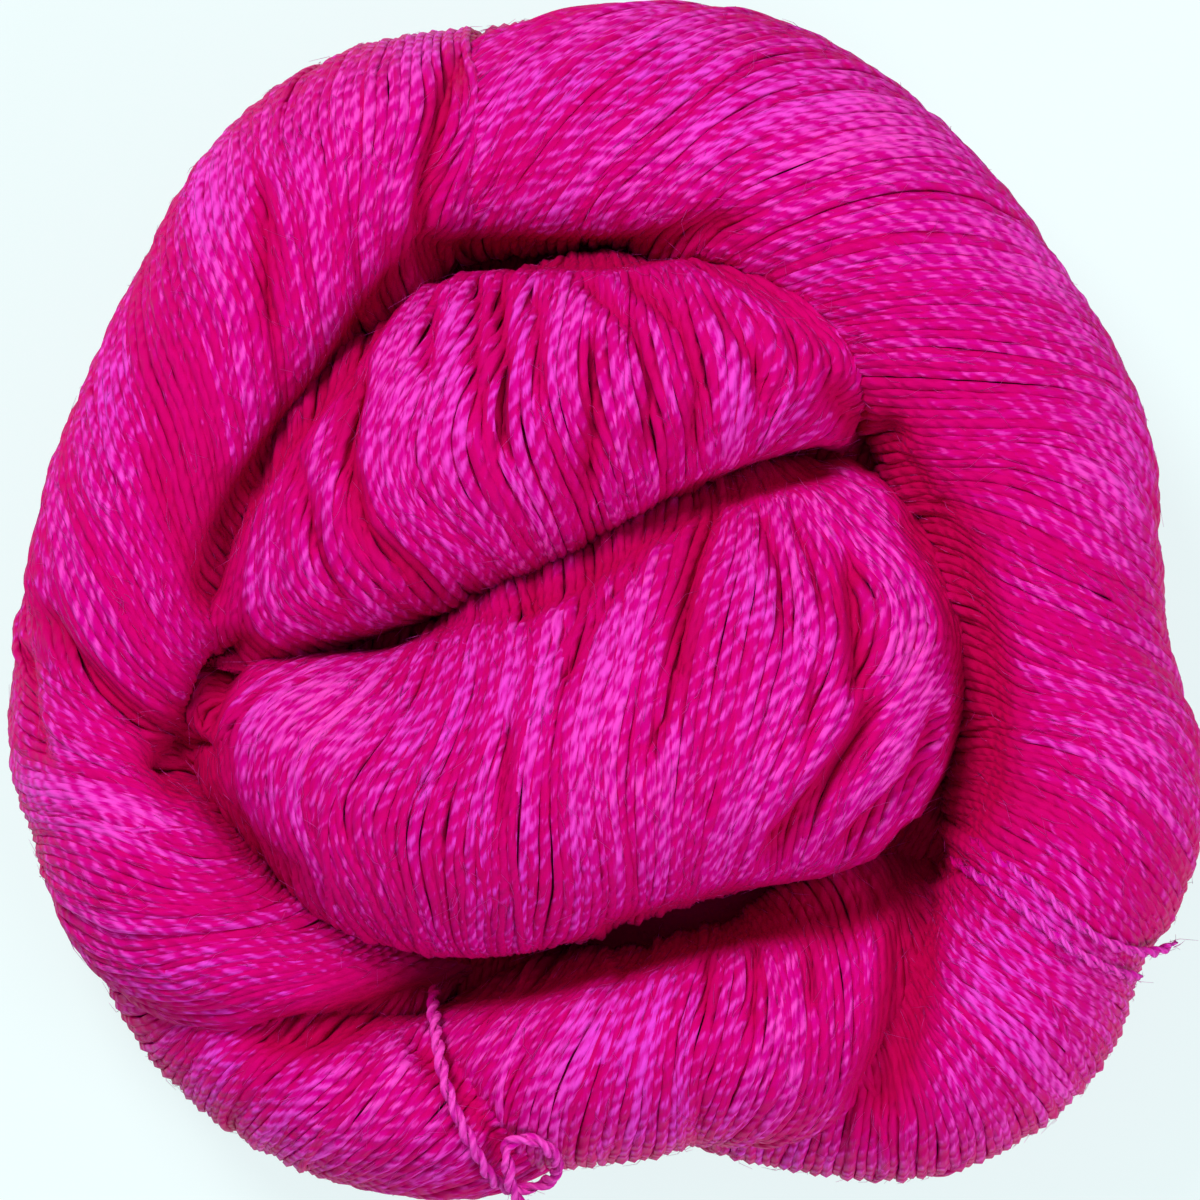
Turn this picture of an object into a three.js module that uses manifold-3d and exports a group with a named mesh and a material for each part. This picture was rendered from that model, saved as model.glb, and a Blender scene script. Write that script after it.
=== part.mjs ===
// A twisted hank of fine yarn, coiled into a flat round rosette and laid on a table.
// Units are millimetres, +Z is up, and z = 0 is the surface that the rosette rests on.
//
// The yarn is one solid of its wound form: plump bundles, each a length of the twisted hank
// where it comes to the surface, joined as the one body of yarn that they are. Five of them
// make the ring, two fill its middle and one lies under those. The tie that holds the hank
// and the yarn's own two ends are separate cords that lie on it.

import * as THREE from "three";
import { mergeVertices } from "three/addons/utils/BufferGeometryUtils.js";
import Module from "manifold-3d";

// ---- driving dimensions ----------------------------------------------------------------

const BUNDLE_SIDES = 20;
const STEPS_PER_SECTION = 2;
const OUTLINE_CENTRE = { x: 0.3, y: -0.3 };
const RESTING_CUT = { width: 200, depth: 40 };

const CORD_DIAMETER = 1.5;
const CORD_SIDES = 8;
const CORD_STEPS_PER_POINT = 2;

const SKEIN_COLOUR = 0xd6007f;
const CORD_COLOUR = 0xe63fae;

// ---- the yarn's bundles ----------------------------------------------------------------

// Each bundle runs counterclockwise. A row is one cross-section: the place of its centre, its
// half width across the bundle and its half height. The first and last rows lie buried in the
// neighbouring bundles.

const SECTION_COLUMNS = ["x", "y", "z", "halfWidth", "halfHeight"];

const BUNDLES = {
  right: [
    [-4, -45, 6.5, 6, 7],
    [9, -46.8, 7.5, 8, 8.5],
    [21, -48.4, 10.5, 9.3, 11.5],
    [31.8, -46, 14.5, 12, 15.5],
    [39.4, -39.2, 17.2, 13, 17.6],
    [43, -31.8, 18.4, 11.8, 17.8],
    [45.8, -24.8, 19.4, 13.4, 17.6],
    [46.8, -16.5, 20, 13.1, 17],
    [45.3, -7, 20.5, 11.6, 16.5],
    [43.6, 3, 21, 12.2, 16.5],
    [41, 14.6, 21, 13.5, 16.5],
    [34.8, 25.4, 21.5, 13.4, 16.5],
    [26, 36.2, 21.5, 13.6, 16.5],
    [14.8, 43.8, 21.5, 13.8, 16.5],
    [3.5, 46, 21, 13.2, 16],
    [-6, 45.3, 19.5, 12.3, 15],
    [-14.5, 43.6, 17, 10.8, 14],
    [-22, 40.5, 10.5, 8, 10],
  ],
  upperLeft: [
    [37, -20, 5.5, 6, 6],
    [45, -8, 7, 8.5, 8],
    [46, 6, 8, 9.5, 9],
    [41, 20, 8.5, 10, 9.5],
    [32, 33, 9, 10.5, 10],
    [20, 42.5, 9.5, 10.5, 10.5],
    [8, 46.8, 10, 10.5, 11],
    [-4, 48, 11.5, 10.2, 12.5],
    [-14, 46.3, 15.5, 10.8, 16],
    [-22.2, 42.4, 19, 12.6, 18],
    [-28.8, 36.1, 20.3, 13.2, 17.3],
    [-34.3, 28.2, 20.5, 12.4, 17],
    [-39.5, 19, 20.5, 11.7, 16.5],
    [-44, 9, 20.5, 11.2, 16],
    [-46, -1, 19.5, 10.9, 15],
    [-44.5, -9.5, 16.5, 10, 13],
    [-40, -17, 12, 8, 10],
    [-34, -24, 8, 6, 7],
  ],
  lowerLeft: [
    [-26, 31, 6, 5, 6],
    [-35, 26.5, 6.5, 6.5, 7],
    [-43, 18, 7.5, 8.5, 8.5],
    [-47.4, 6, 9, 8.8, 10],
    [-50.5, -5, 12, 8.4, 12.5],
    [-50, -14, 15, 9, 15.5],
    [-47, -21.5, 17, 10, 17],
    [-42.8, -28.9, 18, 11, 16.5],
    [-36, -34.5, 17, 9.8, 15.5],
    [-28, -38, 14, 7, 12.5],
    [-19.5, -38.5, 10, 4.5, 9],
    [-12, -37, 7, 3, 6],
  ],
  lower: [
    [-52, -6, 5.5, 5, 6],
    [-50, -18, 6.5, 7, 7.5],
    [-45, -29, 8, 8, 9],
    [-39.6, -39.3, 10.8, 8.6, 11.5],
    [-32.1, -45.9, 13.5, 9, 14.5],
    [-23, -49, 16, 9.8, 16],
    [-14, -50.3, 16, 9.4, 15],
    [-6, -48, 12, 8, 12],
    [1, -43, 8, 6, 8],
  ],
  bottom: [
    [-34, -41, 5.5, 5, 6],
    [-25, -46.3, 7.5, 7, 8.5],
    [-16, -48, 11, 8.5, 12],
    [-8, -46.7, 15, 10.5, 16],
    [0, -44.8, 17.5, 11.6, 17.5],
    [8, -42.8, 18.5, 11.6, 17.5],
    [16, -42, 18.5, 12.6, 17],
    [23.5, -38.5, 16.5, 13, 15.5],
    [30, -33, 11.5, 11, 11.5],
    [35, -27, 7, 6, 7],
  ],
  upperMiddle: [
    [-40, -6, 9, 5, 8],
    [-32, 1.5, 17, 9, 15],
    [-24, 8.5, 21, 13, 19],
    [-15, 14.8, 23.5, 16, 20.5],
    [-5, 18.9, 24, 16.2, 21],
    [5, 21.5, 23.5, 14.2, 20.5],
    [13, 22.8, 21, 10.8, 18.5],
    [19.5, 21.8, 15.5, 7.5, 13.5],
    [24.5, 19, 8, 4.5, 8],
  ],
  lowerMiddle: [
    [-43, -10, 8, 5, 8],
    [-36, -12.5, 14, 8, 13],
    [-29, -15.5, 19, 11.6, 17],
    [-19.5, -18.8, 23, 15.4, 20.5],
    [-8, -17.6, 24.5, 18.9, 22],
    [3.5, -13, 25, 20.4, 22.5],
    [14, -8.4, 24, 21.6, 21.5],
    [23, -5.6, 20.5, 20.8, 18],
    [29.5, -5.4, 14.5, 17, 13.5],
    [34.5, -6, 8, 10, 8],
  ],
  underside: [
    [-42, 2, 9, 28, 9.5],
    [-20, 0, 10.5, 40, 11.5],
    [2, -1, 11, 42, 12],
    [24, -6, 11, 38, 11.8],
    [42, -12, 9, 24, 9.5],
  ],
};

// ---- the cords that lie on the yarn ----------------------------------------------------

// The route of each cord's middle, x, y, z, point by point from where it comes out of the yarn.
// The tie runs over the lower edge, turns once round in a loose knot and ends free. The two
// ends of the yarn lie side by side over the right edge.

const TIE_ROUTE = [
  [-16.3, -38.4, 20.5],
  [-16.6, -39.8, 23.3],
  [-16.4, -41.5, 26.5],
  [-16, -43.8, 30],
  [-15.5, -46.4, 32],
  [-14.7, -49, 32.8],
  [-13.5, -51.8, 32.5],
  [-12.1, -54.6, 31.1],
  [-10.9, -56.9, 28.7],
  [-9.5, -58.3, 25.6],
  [-7.6, -58.6, 23.8],
  [-5.2, -57.8, 24.5],
  [-4.2, -56, 28],
  [-5.2, -54, 31],
  [-7.3, -53, 31.8],
  [-9.2, -53.8, 31],
  [-9.1, -55.6, 30.7],
  [-8.9, -57.6, 29.3],
  [-8.3, -59.3, 27.3],
  [-7.1, -60.4, 25.2],
  [-5.6, -60.6, 22.8],
];

const LONG_END_ROUTE = [
  [35.5, -22.6, 32.4],
  [37.8, -24.4, 35.1],
  [40.5, -26.4, 37],
  [43.4, -28.6, 37.9],
  [46.2, -31.2, 37.5],
  [48.9, -33.2, 35.9],
  [51.5, -34.3, 33.3],
  [53.8, -34.8, 29.9],
  [55.7, -34.7, 26.6],
  [57.3, -34, 24.4],
];

const SHORT_END_ROUTE = [
  [33.6, -24.5, 30],
  [35.5, -26.1, 33.1],
  [38.2, -27.8, 35.9],
  [41.1, -30, 37.3],
  [44.1, -32.6, 37.5],
  [47, -34.7, 36.2],
  [50.1, -36.3, 33.3],
  [52.3, -37.1, 29.6],
  [53.7, -37.4, 26],
];

// ---- shapes ----------------------------------------------------------------------------

const wasm = await Module();
wasm.setup();

function toSolid(geometry) {
  const bare = geometry.clone();
  bare.deleteAttribute("normal");
  bare.deleteAttribute("uv");
  const merged = mergeVertices(bare);
  return new wasm.Manifold(
    new wasm.Mesh({
      numProp: 3,
      vertProperties: new Float32Array(merged.attributes.position.array),
      triVerts: new Uint32Array(merged.index.array),
    }),
  );
}

function toGeometry(solid) {
  const mesh = solid.getMesh();
  const geometry = new THREE.BufferGeometry();
  geometry.setAttribute("position", new THREE.BufferAttribute(mesh.vertProperties, 3));
  geometry.setIndex(new THREE.BufferAttribute(mesh.triVerts, 1));
  geometry.computeVertexNormals();
  return geometry;
}

// A cylinder bent along the bundle: its height becomes the way along the bundle, and its round
// becomes the upright oval of each section.
function bundleGeometry(rows) {
  const sections = rows.map((row) =>
    Object.fromEntries(SECTION_COLUMNS.map((column, i) => [column, row[i]])),
  );
  const centres = new THREE.CatmullRomCurve3(
    sections.map((s) => new THREE.Vector3(s.x, s.y, s.z)), false, "catmullrom",
  );
  const halves = new THREE.CatmullRomCurve3(
    sections.map((s) => new THREE.Vector3(s.halfWidth, s.halfHeight, 0)), false, "catmullrom",
  );
  const steps = (rows.length - 1) * STEPS_PER_SECTION;
  const geometry = new THREE.CylinderGeometry(1, 1, 1, BUNDLE_SIDES, steps);
  const place = geometry.attributes.position;
  const skyward = new THREE.Vector3(0, 0, 1);
  for (let i = 0; i < place.count; i++) {
    const along = place.getY(i) + 0.5;
    const centre = centres.getPoint(along);
    const half = halves.getPoint(along);
    const ahead = centres.getTangent(along);
    const outward = new THREE.Vector3().crossVectors(ahead, skyward).normalize();
    const upward = new THREE.Vector3().crossVectors(outward, ahead);
    centre.addScaledVector(outward, place.getX(i) * half.x);
    centre.addScaledVector(upward, place.getZ(i) * half.y);
    place.setXYZ(i, centre.x, centre.y, centre.z);
  }
  return geometry;
}

function restingCut() {
  const { width, depth } = RESTING_CUT;
  return new THREE.BoxGeometry(width, width, depth).translate(0, 0, -depth / 2);
}

function skeinGeometry() {
  const bundles = Object.values(BUNDLES).map((rows) => toSolid(bundleGeometry(rows)));
  const joined = bundles.reduce((whole, bundle) => whole.add(bundle));
  const resting = joined.subtract(toSolid(restingCut()));
  return toGeometry(resting);
}

function cordGeometry(route) {
  const section = new THREE.Shape();
  section.absarc(0, 0, CORD_DIAMETER / 2, 0, 2 * Math.PI);
  const points = route.map(([x, y, z]) => new THREE.Vector3(x, y, z));
  return new THREE.ExtrudeGeometry(section, {
    extrudePath: new THREE.CatmullRomCurve3(points, false, "centripetal"),
    steps: (route.length - 1) * CORD_STEPS_PER_POINT,
    curveSegments: CORD_SIDES / 2,
  });
}

// ---- materials and the finished part ---------------------------------------------------

function yarnMaterial(colour) {
  return new THREE.MeshStandardMaterial({ color: colour, roughness: 0.6, metalness: 0 });
}

function piece(name, geometry, material) {
  const mesh = new THREE.Mesh(geometry, material);
  mesh.name = name;
  return mesh;
}

const rosette = new THREE.Group();
rosette.position.set(-OUTLINE_CENTRE.x, -OUTLINE_CENTRE.y, 0);
rosette.add(piece("skein", skeinGeometry(), yarnMaterial(SKEIN_COLOUR)));
rosette.add(piece("tie", cordGeometry(TIE_ROUTE), yarnMaterial(CORD_COLOUR)));
rosette.add(piece("yarn_end_long", cordGeometry(LONG_END_ROUTE), yarnMaterial(CORD_COLOUR)));
rosette.add(piece("yarn_end_short", cordGeometry(SHORT_END_ROUTE), yarnMaterial(CORD_COLOUR)));

const part = new THREE.Group();
part.add(rosette);

export default part;
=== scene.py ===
"""A twisted hank of fine alpaca silk yarn, coiled into a flat round rosette.

The hank's plump bundles are covered with their own plied strands, which wrap each bundle at a
slant, sink into grooves between groups and cross here and there, over a body of packed yarn.
Loose fibres stand out from them, and the tie and the yarn's two ends are free cords.
"""

import math
from collections import namedtuple

import bpy
import numpy as np
from bpy.props import FloatProperty, FloatVectorProperty, IntProperty, PointerProperty
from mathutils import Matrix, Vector
from mathutils.bvhtree import BVHTree


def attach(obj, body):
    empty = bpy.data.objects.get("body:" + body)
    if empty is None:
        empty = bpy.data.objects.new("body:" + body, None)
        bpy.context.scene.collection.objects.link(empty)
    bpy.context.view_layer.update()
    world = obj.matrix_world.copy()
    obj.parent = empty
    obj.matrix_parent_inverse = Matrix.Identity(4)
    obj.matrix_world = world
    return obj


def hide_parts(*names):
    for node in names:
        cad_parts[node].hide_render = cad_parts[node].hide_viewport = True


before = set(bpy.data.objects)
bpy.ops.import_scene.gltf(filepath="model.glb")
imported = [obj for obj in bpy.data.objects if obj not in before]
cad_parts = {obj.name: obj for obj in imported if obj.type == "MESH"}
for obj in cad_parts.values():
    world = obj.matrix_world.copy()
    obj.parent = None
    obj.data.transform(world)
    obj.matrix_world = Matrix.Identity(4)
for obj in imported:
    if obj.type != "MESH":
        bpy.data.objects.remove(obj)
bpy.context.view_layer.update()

bl_info = {
    "name": "Skein of yarn",
    "version": (1, 0, 0),
    "blender": (4, 5, 0),
    "location": "3D View > Sidebar > Skein",
    "description": "Covers a coiled hank with its strands, fuzz, tie and loose ends",
    "category": "Object",
}

MM = 0.001
SEED = 11

# ---- the hank's bundles ----
# A row holds, in millimetres, where a section's centre is, its half width and half height, and
# its lean: how far a strand runs along the bundle for each radian that it goes round it, on the
# bundle's outer side and on its inner side.

OUTLINE_CENTRE = (0.3, -0.3)  # the place in these tables that is the frame's origin

BUNDLES = {
    "right": [
        (-4, -45, 6.5, 6, 7, 4, 4), (9, -46.8, 7.5, 8, 8.5, 4, 4),
        (21, -48.4, 10.5, 9.3, 11.5, 4, 4), (31.8, -46, 14.5, 12, 15.5, 4, 3),
        (39.4, -39.2, 17.2, 13, 17.6, 3, 1.5), (43, -31.8, 18.4, 11.8, 17.8, 3, 2),
        (45.8, -24.8, 19.4, 13.4, 17.6, 5, 3), (46.8, -16.5, 20, 13.1, 17, 6, 5),
        (45.3, -7, 20.5, 11.6, 16.5, 7, 7), (43.6, 3, 21, 12.2, 16.5, 7.5, 8),
        (41, 14.6, 21, 13.5, 16.5, 8, 8.5), (34.8, 25.4, 21.5, 13.4, 16.5, 9, 9),
        (26, 36.2, 21.5, 13.6, 16.5, 9.5, 9.5), (14.8, 43.8, 21.5, 13.8, 16.5, 10, 10.5),
        (3.5, 46, 21, 13.2, 16, 10, 12.5), (-6, 45.3, 19.5, 12.3, 15, 11, 13),
        (-14.5, 43.6, 17, 10.8, 14, 13, 15), (-22, 40.5, 10.5, 8, 10, 13, 15),
    ],
    "upper_left": [
        (37, -20, 5.5, 6, 6, 6, 6), (45, -8, 7, 8.5, 8, 6, 6), (46, 6, 8, 9.5, 9, 6, 6),
        (41, 20, 8.5, 10, 9.5, 6, 6), (32, 33, 9, 10.5, 10, 6, 6),
        (20, 42.5, 9.5, 10.5, 10.5, 6, 6), (8, 46.8, 10, 10.5, 11, 6, 6),
        (-4, 48, 11.5, 10.2, 12.5, 6, 7), (-14, 46.3, 15.5, 10.8, 16, 6, 9),
        (-22.2, 42.4, 19, 12.6, 18, 6, 11), (-28.8, 36.1, 20.3, 13.2, 17.3, 7, 13),
        (-34.3, 28.2, 20.5, 12.4, 17, 8, 14), (-39.5, 19, 20.5, 11.7, 16.5, 9, 15),
        (-44, 9, 20.5, 11.2, 16, 10, 14), (-46, -1, 19.5, 10.9, 15, 10, 12),
        (-44.5, -9.5, 16.5, 10, 13, 10, 10), (-40, -17, 12, 8, 10, 9, 9),
        (-34, -24, 8, 6, 7, 8, 8),
    ],
    "lower_left": [
        (-26, 31, 6, 5, 6, 7, 7), (-35, 26.5, 6.5, 6.5, 7, 7, 7), (-43, 18, 7.5, 8.5, 8.5, 8, 8),
        (-47.4, 6, 9, 8.8, 10, 9, 9), (-50.5, -5, 12, 8.4, 12.5, 10, 11),
        (-50, -14, 15, 9, 15.5, 9, 10), (-47, -21.5, 17, 10, 17, 7, 7),
        (-42.8, -28.9, 18, 11, 16.5, 6, 9), (-36, -34.5, 17, 9.8, 15.5, 6, 15),
        (-28, -38, 14, 7, 12.5, 6, 19), (-19.5, -38.5, 10, 4.5, 9, 6, 20),
        (-12, -37, 7, 3, 6, 6, 20),
    ],
    "lower": [
        (-52, -6, 5.5, 5, 6, 4, 4), (-50, -18, 6.5, 7, 7.5, 4, 4), (-45, -29, 8, 8, 9, 4, 4),
        (-39.6, -39.3, 10.8, 8.6, 11.5, 3, 3), (-32.1, -45.9, 13.5, 9, 14.5, 3, 2),
        (-23, -49, 16, 9.8, 16, 4, 4), (-14, -50.3, 16, 9.4, 15, 5, 5),
        (-6, -48, 12, 8, 12, 6, 6), (1, -43, 8, 6, 8, 6, 6),
    ],
    "bottom": [
        (-34, -41, 5.5, 5, 6, 6, 6), (-25, -46.3, 7.5, 7, 8.5, 6, 7),
        (-16, -48, 11, 8.5, 12, 6, 8.5), (-8, -46.7, 15, 10.5, 16, 6, 8.5),
        (0, -44.8, 17.5, 11.6, 17.5, 5, 6.5), (8, -42.8, 18.5, 11.6, 17.5, 3, 3.5),
        (16, -42, 18.5, 12.6, 17, 3, 3.5), (23.5, -38.5, 16.5, 13, 15.5, 4, 6.5),
        (30, -33, 11.5, 11, 11.5, 5, 8), (35, -27, 7, 6, 7, 5, 8),
    ],
    "upper_middle": [
        (-40, -6, 9, 5, 8, 2, 10), (-32, 1.5, 17, 9, 15, 2, 11), (-24, 8.5, 21, 13, 19, 2, 11),
        (-15, 14.8, 23.5, 16, 20.5, 0, 9), (-5, 18.9, 24, 16.2, 21, -1, 6),
        (5, 21.5, 23.5, 14.2, 20.5, 1, 0), (13, 22.8, 21, 10.8, 18.5, 2, -3),
        (19.5, 21.8, 15.5, 7.5, 13.5, 3, -4), (24.5, 19, 8, 4.5, 8, 3, -4),
    ],
    "lower_middle": [
        (-43, -10, 8, 5, 8, -3, 3), (-36, -12.5, 14, 8, 13, -3, 3),
        (-29, -15.5, 19, 11.6, 17, -4, 3.5), (-19.5, -18.8, 23, 15.4, 20.5, -1, 6),
        (-8, -17.6, 24.5, 18.9, 22, 4, 12), (3.5, -13, 25, 20.4, 22.5, 8, 13),
        (14, -8.4, 24, 21.6, 21.5, 13, 6), (23, -5.6, 20.5, 20.8, 18, 15, -3),
        (29.5, -5.4, 14.5, 17, 13.5, 14, -8), (34.5, -6, 8, 10, 8, 12, -8),
    ],
    "underside": [
        (-42, 2, 9, 28, 9.5, 5, 5), (-20, 0, 10.5, 40, 11.5, 5, 5), (2, -1, 11, 42, 12, 5, 5),
        (24, -6, 11, 38, 11.8, 5, 5), (42, -12, 9, 24, 9.5, 5, 5),
    ],
}
# The bundles whose strands lie straight as seen from above.
MIDDLE_BUNDLES = ("upper_middle", "lower_middle", "underside")

# How far the strands of each bundle draw together in groups, with grooves between them.
GROUPING = {
    "right": 0.6, "upper_left": 1.0, "lower_left": 0.5, "lower": 0.7, "bottom": 0.8,
    "upper_middle": 0.9, "lower_middle": 0.6, "underside": 1.0,
}

# Creases and grooves as seen from above, in millimetres: half width, depth, and a line of places.
GROOVES = [
    # between the bundles
    (1.4, 2.3, [(-14.6, 53.5), (-15.5, 49), (-17, 40), (-17.5, 35.5)]),
    (1.7, 1.8, [(-17, 34.5), (-21, 30), (-26, 22), (-31, 16), (-35, 10.5), (-37.5, 6), (-39, 0)]),
    (1.8, 1.8, [(-18, 34.3), (-8, 34.3), (1, 34), (8, 35.5), (13, 37)]),
    (1.2, 0.8, [(8, 34), (16, 30.5), (21, 26.5), (23, 21)]),
    (2.0, 1.8, [(22.5, 21.5), (25, 17.5), (29.5, 13), (32, 9.5)]),
    (1.3, 0.8, [(-34.5, -5.3), (-30, -5), (-22, -4.3), (-15, -2.2), (-8, -0.5)]),
    (1.8, 1.8, [(-9, -1), (-2, 2.5), (4, 6.5), (10, 10), (16, 12), (23, 14)]),
    (3.0, 2.2, [(31, 10), (34.5, 4), (36.5, -3), (37.5, -10), (36.5, -18), (34, -23)]),
    (2.8, 2.4, [(33, -23), (29, -28.5), (23, -30.5), (14, -31), (6, -33), (0, -34.8)]),
    (2.3, 2.0, [(1, -34.5), (-6, -37), (-13, -38.2), (-20, -39.5), (-27, -42.5), (-34, -43.5)]),
    (1.6, 3.4, [(-35.7, -4.9), (-37.6, -7.6), (-38.9, -10.6), (-39.9, -13.2)]),
    (2.0, 1.2, [(-40, -17), (-38, -20), (-34, -24.5), (-29, -28)]),
    (2.8, 2.2, [(31, -28), (30.5, -36), (29, -44), (27, -51)]),
    (1.1, 1.4, [(-57.5, -5), (-56.5, -11), (-55, -16)]),
    (1.5, 1.6, [(-55.5, -1), (-52.5, -5), (-47.5, -10), (-42, -14)]),
    (1.2, 1.3, [(-19, -43), (-15, -47), (-12.3, -50), (-10.5, -53), (-9, -56)]),
    # hollows where bundles meet
    (2.4, 2.6, [(-18.5, 34), (-14.5, 34.2)]), (1.8, 2.0, [(-36, 11.5), (-35, 10.5)]),
    (2.9, 4.9, [(-41.4, -14.2), (-40.9, -16.6)]), (1.9, 3.2, [(-36.2, -5.2), (-34.8, -4.8)]),
    (2.6, 2.6, [(26, 17.5), (29, 14)]), (3.4, 2.0, [(32, -25), (33.5, -28)]),
    # between groups of strands
    (1.5, 2.5, [(11.5, 11), (9.8, 6.5), (8.6, 2), (7.8, -3), (7.4, -7.5)]),
    (1.1, 1.6, [(7.4, -7), (6.5, -11), (4.5, -15)]),
    (1.5, 2.6, [(24.4, 4), (25.1, -4), (25.4, -9)]),
    (1.4, 2.4, [(26.8, -9.5), (25, -14), (22, -18), (18.5, -22.5), (16.5, -25)]),
    (1.1, 1.7, [(33.5, -10), (31, -17), (27, -21), (23.5, -24.5)]),
    (0.9, 1.4, [(18.5, 9), (20.5, 4), (22, -1)]), (0.9, 1.5, [(15.5, 9), (17.3, 3), (17.8, -3)]),
    (0.9, 1.3, [(5.5, 6.5), (2, 2), (-1, -3), (-3.5, -8)]),
    (0.9, 1.1, [(2, 4.5), (-1.5, 0), (-4.5, -5)]), (0.9, 1.1, [(21, -7), (20, -14)]),
    (0.9, 1.0, [(-9, -12), (-9.5, -22)]),
    (1.3, 2.2, [(-23.5, 23), (-24.7, 14), (-22.6, 6.5), (-16.5, 1)]),
    (0.9, 1.3, [(-29.5, 14), (-28, 6.5), (-24.5, -1)]), (0.9, 1.2, [(-16, 30.5), (-17, 22)]),
    (0.9, 1.4, [(-11.8, 32), (-12.2, 24), (-11.4, 17)]),
    (1.0, 1.8, [(-9.7, 31), (-9.3, 20), (-9.6, 14)]), (0.9, 1.4, [(-6.2, 30), (-5.9, 20)]),
    (1.1, 2.0, [(-0.7, 25), (-0.8, 11)]),
    (1.0, 1.6, [(-2.2, 32), (2.7, 27), (4.8, 22), (4.4, 14)]),
    (1.2, 1.8, [(2.5, 32), (7.6, 27), (9.7, 21), (9, 14)]),
    (1.0, 1.5, [(10.4, 30), (14.6, 24), (16, 19)]), (0.9, 1.1, [(18, 27), (19.5, 22)]),
    (1.0, 1.4, [(-33, 40), (-32.3, 27)]), (1.0, 1.5, [(15.5, -30), (15, -42)]),
    (1.0, 1.5, [(10.8, -31.5), (10.3, -41)]), (0.9, 1.3, [(20.5, -32), (20.8, -40)]),
]

# Painted sheen and painted shade on the silk's upper side, as seen from above, in millimetres:
# place, reach both ways and how much; a positive amount is painted highlight, a negative one
# painted shade.
PAINTED_SHEEN_AND_SHADE = [
    (-37, 39, 5, 7, 0.4), (-25, 46, 4, 6, 0.35), (-47, 21, 4, 7, 0.35), (6, 56, 6, 3.5, 0.4),
    (28, 46, 9, 6, 0.5), (45, 33, 6, 6, 0.35), (51, 14, 4.5, 8, 0.4), (54, -15, 6, 8, 0.4),
    (-15, 22, 8, 8, 0.28), (-9, 30, 5, 3.5, 0.2), (3, 25, 9, 8, 0.25), (-33, 2, 4.5, 3.5, 0.45),
    (-27, -11, 9, 5, 0.55), (0, -5, 9, 8, 0.38), (16, 3, 3.5, 5, 0.5), (3, -17, 3.5, 5, 0.3),
    (27.5, 6, 3.5, 5, 0.45), (30.5, -6, 4, 8, 0.45), (-55.5, -15, 3, 7, 0.3),
    (-48, -21.5, 6, 3, 0.4), (-19, -43.5, 5, 3.5, 0.45), (-1, -43, 6, 4, 0.35),
    (40, -35, 7, 7, 0.05), (-38, 6, 8, 16, -0.5), (20, 33, 14, 7, -0.4), (38, 12, 6, 14, -0.45),
    (-30, -36, 14, 7, -0.5), (-12, -28, 18, 5, -0.35), (50, 0, 5, 6, -0.25),
    (55, -27, 4, 7, -0.3), (40, -19, 6, 9, -0.7), (30, 17, 5, 6, -0.5), (-33, 33, 6, 4, -0.2),
    (-50, -34, 6, 8, 0.2), (33, -2, 2.5, 8, 0.5), (33, -13, 3, 6, 0.5), (29, -19, 4, 5, 0.4),
    (-41, -15, 5, 4, -1.1), (-37.5, -22, 5, 4, -0.4), (31, -38, 3, 10, -0.5),
    (-27, 12, 6, 9, 0.2), (7, 9, 9, 5, 0.2), (12, 22, 8, 8, 0.15),
]

# ---- the cords ----
# Routes are in metres, in the part's frame.

CORD_PLY_TURN = 5 * MM  # length of cord in which its two plies turn once

TIE_ROUTE = [
    (-0.0166, -0.0381, 0.0205), (-0.0169, -0.0395, 0.0233), (-0.0167, -0.0412, 0.0265),
    (-0.0163, -0.0435, 0.03), (-0.0158, -0.0461, 0.032), (-0.015, -0.0487, 0.0328),
    (-0.0138, -0.0515, 0.0325), (-0.0124, -0.0543, 0.0311), (-0.0112, -0.0566, 0.0287),
    (-0.0098, -0.058, 0.0256), (-0.0079, -0.0583, 0.0238), (-0.0055, -0.0575, 0.0245),
    (-0.0045, -0.0557, 0.028), (-0.0055, -0.0537, 0.031), (-0.0076, -0.0527, 0.0318),
    (-0.0095, -0.0535, 0.031), (-0.0094, -0.0553, 0.0307), (-0.0092, -0.0573, 0.0293),
    (-0.0086, -0.059, 0.0273), (-0.0074, -0.0601, 0.0252), (-0.0059, -0.0603, 0.0228),
]
LONG_END_ROUTE = [
    (0.0352, -0.0223, 0.0324), (0.0375, -0.0241, 0.0351), (0.0402, -0.0261, 0.037),
    (0.0431, -0.0283, 0.0379), (0.0459, -0.0309, 0.0375), (0.0486, -0.0329, 0.0359),
    (0.0512, -0.034, 0.0333), (0.0535, -0.0345, 0.0299), (0.0554, -0.0344, 0.0266),
    (0.057, -0.0337, 0.0244),
]
SHORT_END_ROUTE = [
    (0.0333, -0.0242, 0.03), (0.0352, -0.0258, 0.0331), (0.0379, -0.0275, 0.0359),
    (0.0408, -0.0297, 0.0373), (0.0438, -0.0323, 0.0375), (0.0467, -0.0344, 0.0362),
    (0.0498, -0.036, 0.0333), (0.052, -0.0368, 0.0296), (0.0534, -0.0371, 0.026),
]

# ---- shader maths ----


def maths(operation, reflected=False):
    """An operator that adds a Math node. A reflected one has its two sides changed over."""

    def operator(self, other):
        first, second = (other, self) if reflected else (self, other)
        return self.shader.add("ShaderNodeMath", {"operation": operation}, {0: first, 1: second})

    return operator


class Value:
    """An output of a shader node, so that maths on it reads as an expression."""

    def __init__(self, shader, socket):
        self.shader = shader
        self.socket = socket

    __add__, __radd__ = maths("ADD"), maths("ADD", reflected=True)
    __sub__, __rsub__ = maths("SUBTRACT"), maths("SUBTRACT", reflected=True)
    __mul__, __rmul__ = maths("MULTIPLY"), maths("MULTIPLY", reflected=True)

    def cosine(self):
        return self.shader.add("ShaderNodeMath", {"operation": "COSINE"}, {0: self})


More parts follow.
